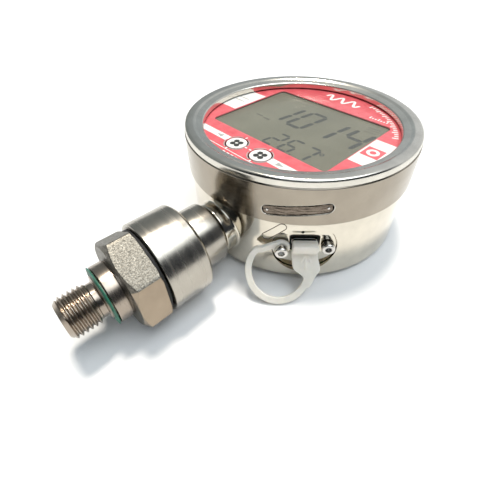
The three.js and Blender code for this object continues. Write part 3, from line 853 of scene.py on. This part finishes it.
def make_connection():
    """The hexagon with its chamfered corners, then collar, undercut, helical thread and bore as one."""
    thread_end = -joint_low.y
    corner = HEX_HALF / math.cos(math.pi / 6)

    def hex_radius(angle):
        part = (angle - HEX_TURN) % (math.pi / 3) - math.pi / 6
        return min(HEX_HALF / math.cos(part), corner - 0.14)

    def hexed(limit):
        return lambda angle: min(hex_radius(angle), limit)

    stations = [HEX_START + 0.45 * k / 4 for k in range(5)]
    stations += [HEX_START + 0.45 + (HEX_END - 2.5 - HEX_START) * k / 6 for k in range(1, 7)]
    stations += [HEX_END - 2.0 + 2.0 * k / 14 for k in range(15)]
    rows = [(8.5, HEX_START)]
    for station in sorted(stations):
        front = corner - 1.0 + (station - HEX_START) * 2.4
        back = corner - 2.3 + (HEX_END - station) * 1.55
        rows.append((hexed(min(front, back)), station))
    rows += [(8.5, HEX_END), (8.5, HEX_START)]
    cosine, sine = math.cos(HEX_TURN), math.sin(HEX_TURN)
    turned = [((lambda a, r=r: r(a + HEX_TURN)) if callable(r) else r, s) for r, s in rows]
    hexagon = solid("hexagon", *spun(
        turned, 216, lambda x, y, h: on_stem(x * cosine - y * sine, x * sine + y * cosine, h)))
    place(hexagon, "stem", "blasted_steel", stands_for=["process_connection"], sharp=20)
    # one face takes the browner steel: painted shade on that side of the hexagon, partly a milled finish
    hexagon.data.materials.append(milled_shaded_steel)
    for face in hexagon.data.polygons:
        spot = face.center / MM
        bearing = math.atan2(spot.z - STEM_Z, spot.x)
        if MILLED_SHADED_FROM < bearing < MILLED_SHADED_TO and math.hypot(spot.x, spot.z - STEM_Z) > HEX_HALF - 0.5:
            face.material_index = 1

    def threaded(station):
        fade_in = min(1.0, max(0.0, (station - THREAD_START) / 1.1))
        limit = ROOT_R - 0.55 + (thread_end - station) * 1.0

        def radius(angle):
            phase = ((station - THREAD_START) / PITCH - angle / TAU) % 1.0
            lift = min(1.0, max(0.0, (abs(2 * phase - 1) - 0.1) / 0.8))
            lift = lift * lift * (3 - 2 * lift) * 0.6 + lift * 0.4
            r = ROOT_R + (THREAD_R - ROOT_R) * lift
            r = UNDERCUT_R + (r - UNDERCUT_R) * fade_in
            return min(r, max(limit, 1.0))
        return radius

    seal_end = -seal_low.y
    base = rounded([
        (7.0, HEX_END - 0.6), (COLLAR_R - 0.35, HEX_END - 0.6), (COLLAR_R - 0.35, HEX_END + 0.55, 0.1),
        (COLLAR_R, HEX_END + 0.75, 0.12), (COLLAR_R, COLLAR_END, 0.3), (7.2, COLLAR_END, 0.1),
        (7.2, seal_end + 0.2, 0.3), (UNDERCUT_R, seal_end + 0.5, 0.4), (UNDERCUT_R, THREAD_START - 0.05)])
    count = 104
    stations = [THREAD_START + (thread_end - THREAD_START) * k / count for k in range(count + 1)]
    base += [(threaded(station), station) for station in stations]
    base += rounded([(ROOT_R - 0.7, thread_end), (2.2, thread_end, 0.1), (BORE_R, thread_end - 0.5),
                     (BORE_R, 86), (0, 85.6)])
    shank = solid("threaded_shank", *spun([(0, HEX_END - 0.6), *base], TURNED, on_stem))
    place(shank, "stem", "blasted_steel", thread_steel, ["process_connection"], sharp=38)


# ------------ service port
def make_port():
    screws = [port_reach("port_screw_left"), port_reach("port_screw_right")]
    light = port_reach("light_pipe")
    shell = port_reach("connector_shell")
    opening_low, opening_high = 11.4, 18.6
    opening = box_outline(10, opening_high - opening_low, 1, 0, (opening_low + opening_high) / 2)
    holes = [opening, disc(0.5, light[0], light[1], 24)] + [disc(1.5, s[0], s[1], 32) for s in screws]
    face = plate("port_face", [disc(10.7, 0, PORT_Z, 144), *holes],
                 PORT_FACE - 1.0, PORT_FACE, 0.12, port_spot)
    place(face, "case", "polished_steel", stands_for=["port_plate"])
    rims = [box_outline(9.9, 7.1, 0.95, 0, 15), box_outline(9.2, 4.4, 0.7, 0, shell[1])]
    frame_ring = plate("port_frame", rims, PORT_FACE - 1.6, PORT_FACE - 0.7, 0.1, port_spot)
    place(frame_ring, "case", "black_plastic")
    walls = [box_outline(8.6, 3.0, 1.1, 0, shell[1]), box_outline(7.9, 2.3, 0.8, 0, shell[1])]
    tube = plate("connector_tube", walls, shell[2], shell[3] + 0.4, 0.08, port_spot)
    place(tube, "case", "screw_steel", stands_for=["connector_shell"])
    tongue = plate("connector_blade", [box_outline(6.4, 0.9, 0.2, 0, shell[1])],
                   shell[2], shell[3] - 0.3, 0.1, port_spot)
    place(tongue, "case", "black_plastic", stands_for=["connector_tongue"])
    pipe = plate("light_lens", [disc(0.36, light[0], light[1], 24)], light[2], light[3], 0.05, port_spot)
    place(pipe, "case", "clear_pane", stands_for=["light_pipe"])
    for name, (u, z, low, high) in zip(("left", "right"), screws):
        make_screw(name, u, z, low, high)
    make_embossed_oblong()


def make_embossed_oblong():
    """A thin raised line, a slanted long loop on the wall at the port's upper left."""
    lean, middle = math.radians(46), (-10.3, 20.4)
    path, out = [], []
    for a, b in dense(stadium(10, 2.7), 0.35):
        u = middle[0] + a * math.cos(lean) - b * math.sin(lean)
        z = middle[1] + a * math.sin(lean) + b * math.cos(lean)
        n = math.sqrt(CASE_R ** 2 - u ** 2)
        path.append(port_point(u, n, z))
        out.append((port_point(u, n, z) - port_point(0, 0, z)).normalized())
    line = swept("wall_oblong", path, out, 0.14)
    # drawn in the darkened strip steel so the line shows dark on the polished wall: painted shade
    place(line, "case", "polished_steel", shaded_tab_steel)


def make_screw(name, u, z, low, high):
    head = 2.3
    rows = rounded([(0, high - 1.3), (1.15, high - 1.3), (1.25, high - 0.08, 0.05), (1.45, high, 0.08),
                    (2.05, high, 0.35), (2.25, high - 0.5, 0.2), (2.25, high - head, 0.1), (1.2, high - head),
                    (1.2, low), (0, low)])

    def socket(angle):
        part = (angle + 0.2) % (math.pi / 3) - math.pi / 6
        return 1.08 / math.cos(part)

    made = [((socket if abs(r - 1.15) < 0.02 or abs(r - 1.25) < 0.03 else r), h) for r, h in rows]
    screw = solid(f"cap_screw_{name}", *spun(made, 72, lambda x, y, h: port_spot(u + x, z + y, h)))
    place(screw, "case", "screw_steel", stands_for=[f"port_screw_{name}"])


# ------------ silicone cap
CAP_FACE = 42.9  # middle of the upright part of the sheet, out of the case axis
CAP_BEND = 1.9  # distance below the port centre where the sheet starts to lean out
CAP_LEAN = math.radians(38)


def leaned(down):
    """Out, up and lean of the sheet's middle at a distance down from the port centre."""
    out, up, steps = CAP_FACE, PORT_Z - min(down, 0.0), 40
    if down <= 0:
        return out, up, 0.0
    lean = 0.0
    for k in range(steps):
        here = down * (k + 0.5) / steps
        share = min(1.0, max(0.0, (here - CAP_BEND + 1.2) / 2.4))
        lean = CAP_LEAN * share * share * (3 - 2 * share)
        out += math.sin(lean) * down / steps
        up -= math.cos(lean) * down / steps
    return out, up, lean


def arc_path(x, y, wide, long, start, end, count=40):
    turns = [math.radians(start + (end - start) * k / count) for k in range(count + 1)]
    return [(x + wide * math.cos(a), y - long * math.sin(a)) for a in turns]


def flat_prism(name, outline, low, high):
    return prism(name, outline, low, high, lambda u, down, t: (u, -down, t))


def make_cap():
    """Flat parts in (u, down, out), made one skin by a voxel remesh, then bent out before the port."""
    eye_u, eye_z = port_reach("port_screw_left")[:2]
    eye = (eye_u, PORT_Z - eye_z)
    hoop = (-8.6, 7.4)
    ribbon = [(eye[0] - 0.6, eye[1] - 1.7), (eye[0] - 2.4, eye[1] - 1.6), (-12.6, -0.9), (-14.6, 0.05)]
    ribbon += arc_path(hoop[0], hoop[1], 10.1, 10.5, 132, 352)
    ribbon += [(1.45, 7.6), (1.7, 5.6)]
    ribbon = smooth_path(ribbon)
    right = smooth_path([(4.5, -0.2), (4.55, 2.6), (5.2, 5.2), (5.6, 7.1), (4.9, 8.2),
                         (4.2, 9.0), (3.6, 10.2), (2.9, 11.8), (1.6, 13.4)])
    left = smooth_path([(-0.3, 12.9), (0.2, 11.4), (0.1, 10.2), (-0.8, 9.0),
                        (-2.4, 8.1), (-3.7, 7.0), (-4.1, 4.4), (-4.2, -0.2)])
    parts = [
        flat_prism("cap_a", stroke(ribbon, 2.3), -0.7, 0.7),
        flat_prism("cap_b", disc(2.95, *eye, 64), -1.3, 0.25),
        flat_prism("cap_c", right + left, -0.6, 0.6),
        flat_prism("cap_d", box_outline(8.5, 7.0, 0.7, 0.15, 0.6), -1.55, 0.2),
        flat_prism("cap_e", box_outline(8.6, 2.9, 0.7, 0.15, -1.7), -0.4, 1.9),
    ]
    points, faces = [], []
    for part in parts:
        base = len(points)
        points += [tuple(c / MM for c in v.co) for v in part.data.vertices]
        faces += [[base + k for k in p.vertices] for p in part.data.polygons]
        bpy.data.objects.remove(part)
    cap = new_object("silicone_cap", points, faces)
    shape = cap.modifiers.new("voxels", "REMESH")
    shape.mode, shape.voxel_size = "VOXEL", 0.19 * MM
    ease = cap.modifiers.new("ease", "SMOOTH")
    ease.factor, ease.iterations = 0.5, 9
    evaluated(cap)
    cut(cap, flat_prism("cap_hole", disc(1.45, *eye, 48), -3, 3))
    arrow = [[(0.5, 2.6), (0.5, 6.6)], [(-1.0, 4.2), (0.5, 2.5)], [(2.0, 4.2), (0.5, 2.5)]]
    relief = 0.32
    for vertex in cap.data.vertices:
        u, down, t = vertex.co.x / MM, -vertex.co.y / MM, vertex.co.z / MM
        if t > 0.3 and 1.5 < down < 7.5 and -2 < u < 3:
            near = min(line_distance(u, down, *line) for line in arrow)
            share = min(1.0, max(0.0, (0.52 - near) / 0.3))
            t += relief * share * share * (3 - 2 * share)
        out, up, lean = leaned(down)
        if down <= 0:
            up = PORT_Z - down
        vertex.co = port_point(u, out + t * math.cos(lean), up + t * math.sin(lean)) * MM
    cap.data.update()
    place(cap, "cap", "silicone", stands_for=["port_cap"], sharp=60)


def smooth_path(points, rounds=3, closest=0.3):
    """Cuts the corners of an open line, then drops points nearer than closest to the one before."""
    for _ in range(rounds):
        made = [points[0]]
        for (ax, ay), (bx, by) in zip(points, points[1:]):
            made.append((0.75 * ax + 0.25 * bx, 0.75 * ay + 0.25 * by))
            made.append((0.25 * ax + 0.75 * bx, 0.25 * ay + 0.75 * by))
        points = [*made, points[-1]]
    kept = [points[0]]
    for point in points[1:]:
        if math.dist(point, kept[-1]) > closest:
            kept.append(point)
    return kept


def line_distance(x, y, a, b):
    """Distance of (x, y) from the stretch between a and b."""
    ax, ay, bx, by = *a, *b
    t = ((x - ax) * (bx - ax) + (y - ay) * (by - ay)) / ((bx - ax) ** 2 + (by - ay) ** 2)
    t = min(1.0, max(0.0, t))
    return math.hypot(x - ax - t * (bx - ax), y - ay - t * (by - ay))


# ------------ floor, light, camera
def make_floor():
    """The gauge rests on its sensor housing and the far edge of its case, so the floor leans slightly."""
    half, slope, clearance = 3000.0, 0.0284, 0.05
    corners = [(-half, -half), (half, -half), (half, half), (-half, half)]
    points = [(x, y, housing_low.z - clearance + slope * (y - housing_high.y)) for x, y in corners]
    floor = new_object("floor", points, [[0, 1, 2, 3]])
    paper = Shader("paper", (0.93, 0.93, 0.925), 0.75)
    paper.tint(paper.noise(0.02, detail=4), (0.92, 0.92, 0.915), (0.94, 0.94, 0.935))
    paper.bump(paper.noise(1.2, detail=5), 0.05, 0.05)
    floor.data.materials.append(paper.mat)


def sun(name, energy, color, angle, towards):
    """A soft sun that lights matt surfaces only; the metals take their shine from the room."""
    lamp = bpy.data.lights.new(name, "SUN")
    lamp.energy, lamp.color, lamp.angle = energy, color, math.radians(angle)
    lamp.specular_factor = 0.0
    made = add(name, lamp)
    made.rotation_mode = "QUATERNION"
    made.rotation_quaternion = Vector(towards).normalized().to_track_quat("Z", "Y")


def make_light():
    """A room with a bright patch overhead and one dark side for the metals, and two suns for the rest."""
    world = bpy.data.worlds.new("studio")
    bpy.context.scene.world = world
    world.use_nodes = True
    tree = world.node_tree
    back = tree.nodes["Background"]
    direction = tree.nodes.new("ShaderNodeTexCoord").outputs["Generated"]

    def facing(*way):
        """How far a direction in the room lies towards a way: 1 along it, 0 across it."""
        made = tree.nodes.new("ShaderNodeVectorMath")
        made.operation = "DOT_PRODUCT"
        made.inputs[1].default_value = Vector(way).normalized()
        tree.links.new(direction, made.inputs[0])
        return made.outputs["Value"]

    def ramp(source, low, high, stops):
        scaled = tree.nodes.new("ShaderNodeMapRange")
        scaled.inputs["From Min"].default_value, scaled.inputs["From Max"].default_value = low, high
        tree.links.new(source, scaled.inputs["Value"])
        made = tree.nodes.new("ShaderNodeValToRGB")
        made.color_ramp.interpolation = "EASE"
        while len(made.color_ramp.elements) < len(stops):
            made.color_ramp.elements.new(0.5)
        for element, (position, color) in zip(made.color_ramp.elements, stops):
            element.position, element.color = position, (*color, 1)
        tree.links.new(scaled.outputs["Result"], made.inputs["Fac"])
        return made.outputs["Color"]

    room = ramp(facing(0.63, 0.77, 0.05), -0.3, 0.7, [
        (0.0, (0.27, 0.30, 0.31)), (0.5, (0.42, 0.47, 0.50)),
        (0.85, (0.72, 0.75, 0.78)), (1.0, (0.76, 0.79, 0.82))])
    dark = ramp(facing(0.78, -0.52, 0.35), 0.1, 1.0, [(0.0, (1, 1, 1)), (0.5, (0.045, 0.05, 0.06))])
    patch = ramp(facing(0.33, 0.22, 0.92), 0.91, 1.0, [(0.0, (0, 0, 0)), (1.0, (0.90, 0.96, 1.0))])
    shaded = tree.nodes.new("ShaderNodeMix")
    shaded.data_type, shaded.blend_type = "RGBA", "MULTIPLY"
    shaded.inputs["Factor"].default_value = 1.0
    tree.links.new(room, shaded.inputs[6])
    tree.links.new(dark, shaded.inputs[7])
    tree.links.new(shaded.outputs[2], back.inputs["Color"])
    back.inputs["Strength"].default_value = 1.0
    glow = tree.nodes.new("ShaderNodeBackground")
    glow.inputs["Strength"].default_value = 3.9
    tree.links.new(patch, glow.inputs["Color"])
    both = tree.nodes.new("ShaderNodeAddShader")
    tree.links.new(back.outputs["Background"], both.inputs[0])
    tree.links.new(glow.outputs["Background"], both.inputs[1])
    wall = tree.nodes.new("ShaderNodeBackground")
    wall.inputs["Color"].default_value = (0.80, 0.81, 0.81, 1)
    path = tree.nodes.new("ShaderNodeLightPath")
    seen = tree.nodes.new("ShaderNodeMixShader")
    tree.links.new(path.outputs["Is Camera Ray"], seen.inputs["Fac"])
    tree.links.new(both.outputs["Shader"], seen.inputs[1])
    tree.links.new(wall.outputs["Background"], seen.inputs[2])
    tree.links.new(seen.outputs["Shader"], tree.nodes["World Output"].inputs["Surface"])
    sun("key", 2.5, (1.0, 0.93, 0.84), 10, (-0.18, 0.16, 0.97))
    sun("fill", 0.75, (0.84, 0.92, 1.0), 50, (0.36, -0.22, 0.9))
    bpy.context.scene.view_settings.view_transform = "Standard"


def make_camera():
    """The photo's camera: place, turn, lens and shift, as fitted to the outlines seen in it."""
    eye = Vector((71.83, -93.38, 93.93))
    data = bpy.data.cameras.new("camera")
    camera = add("camera", data)
    forward = Vector((-0.5533, 0.5274, -0.6448)).normalized()
    right = Vector((0.6948, 0.7192, -0.0080))
    right = (right - forward * right.dot(forward)).normalized()
    up = right.cross(forward)
    turn = Matrix((right, up, -forward)).transposed()
    camera.matrix_world = Matrix.Translation(eye * MM) @ turn.to_4x4()
    data.sensor_width, data.lens = 36, 23.39
    data.shift_x, data.shift_y = -0.008, -0.084
    data.clip_start, data.clip_end = 0.005, 20
    bpy.context.scene.camera = camera


make_camera()
make_case()
make_bezel()
make_front()
make_display()
make_neck()
make_stem()
make_connection()
make_port()
make_cap()
make_floor()
make_light()
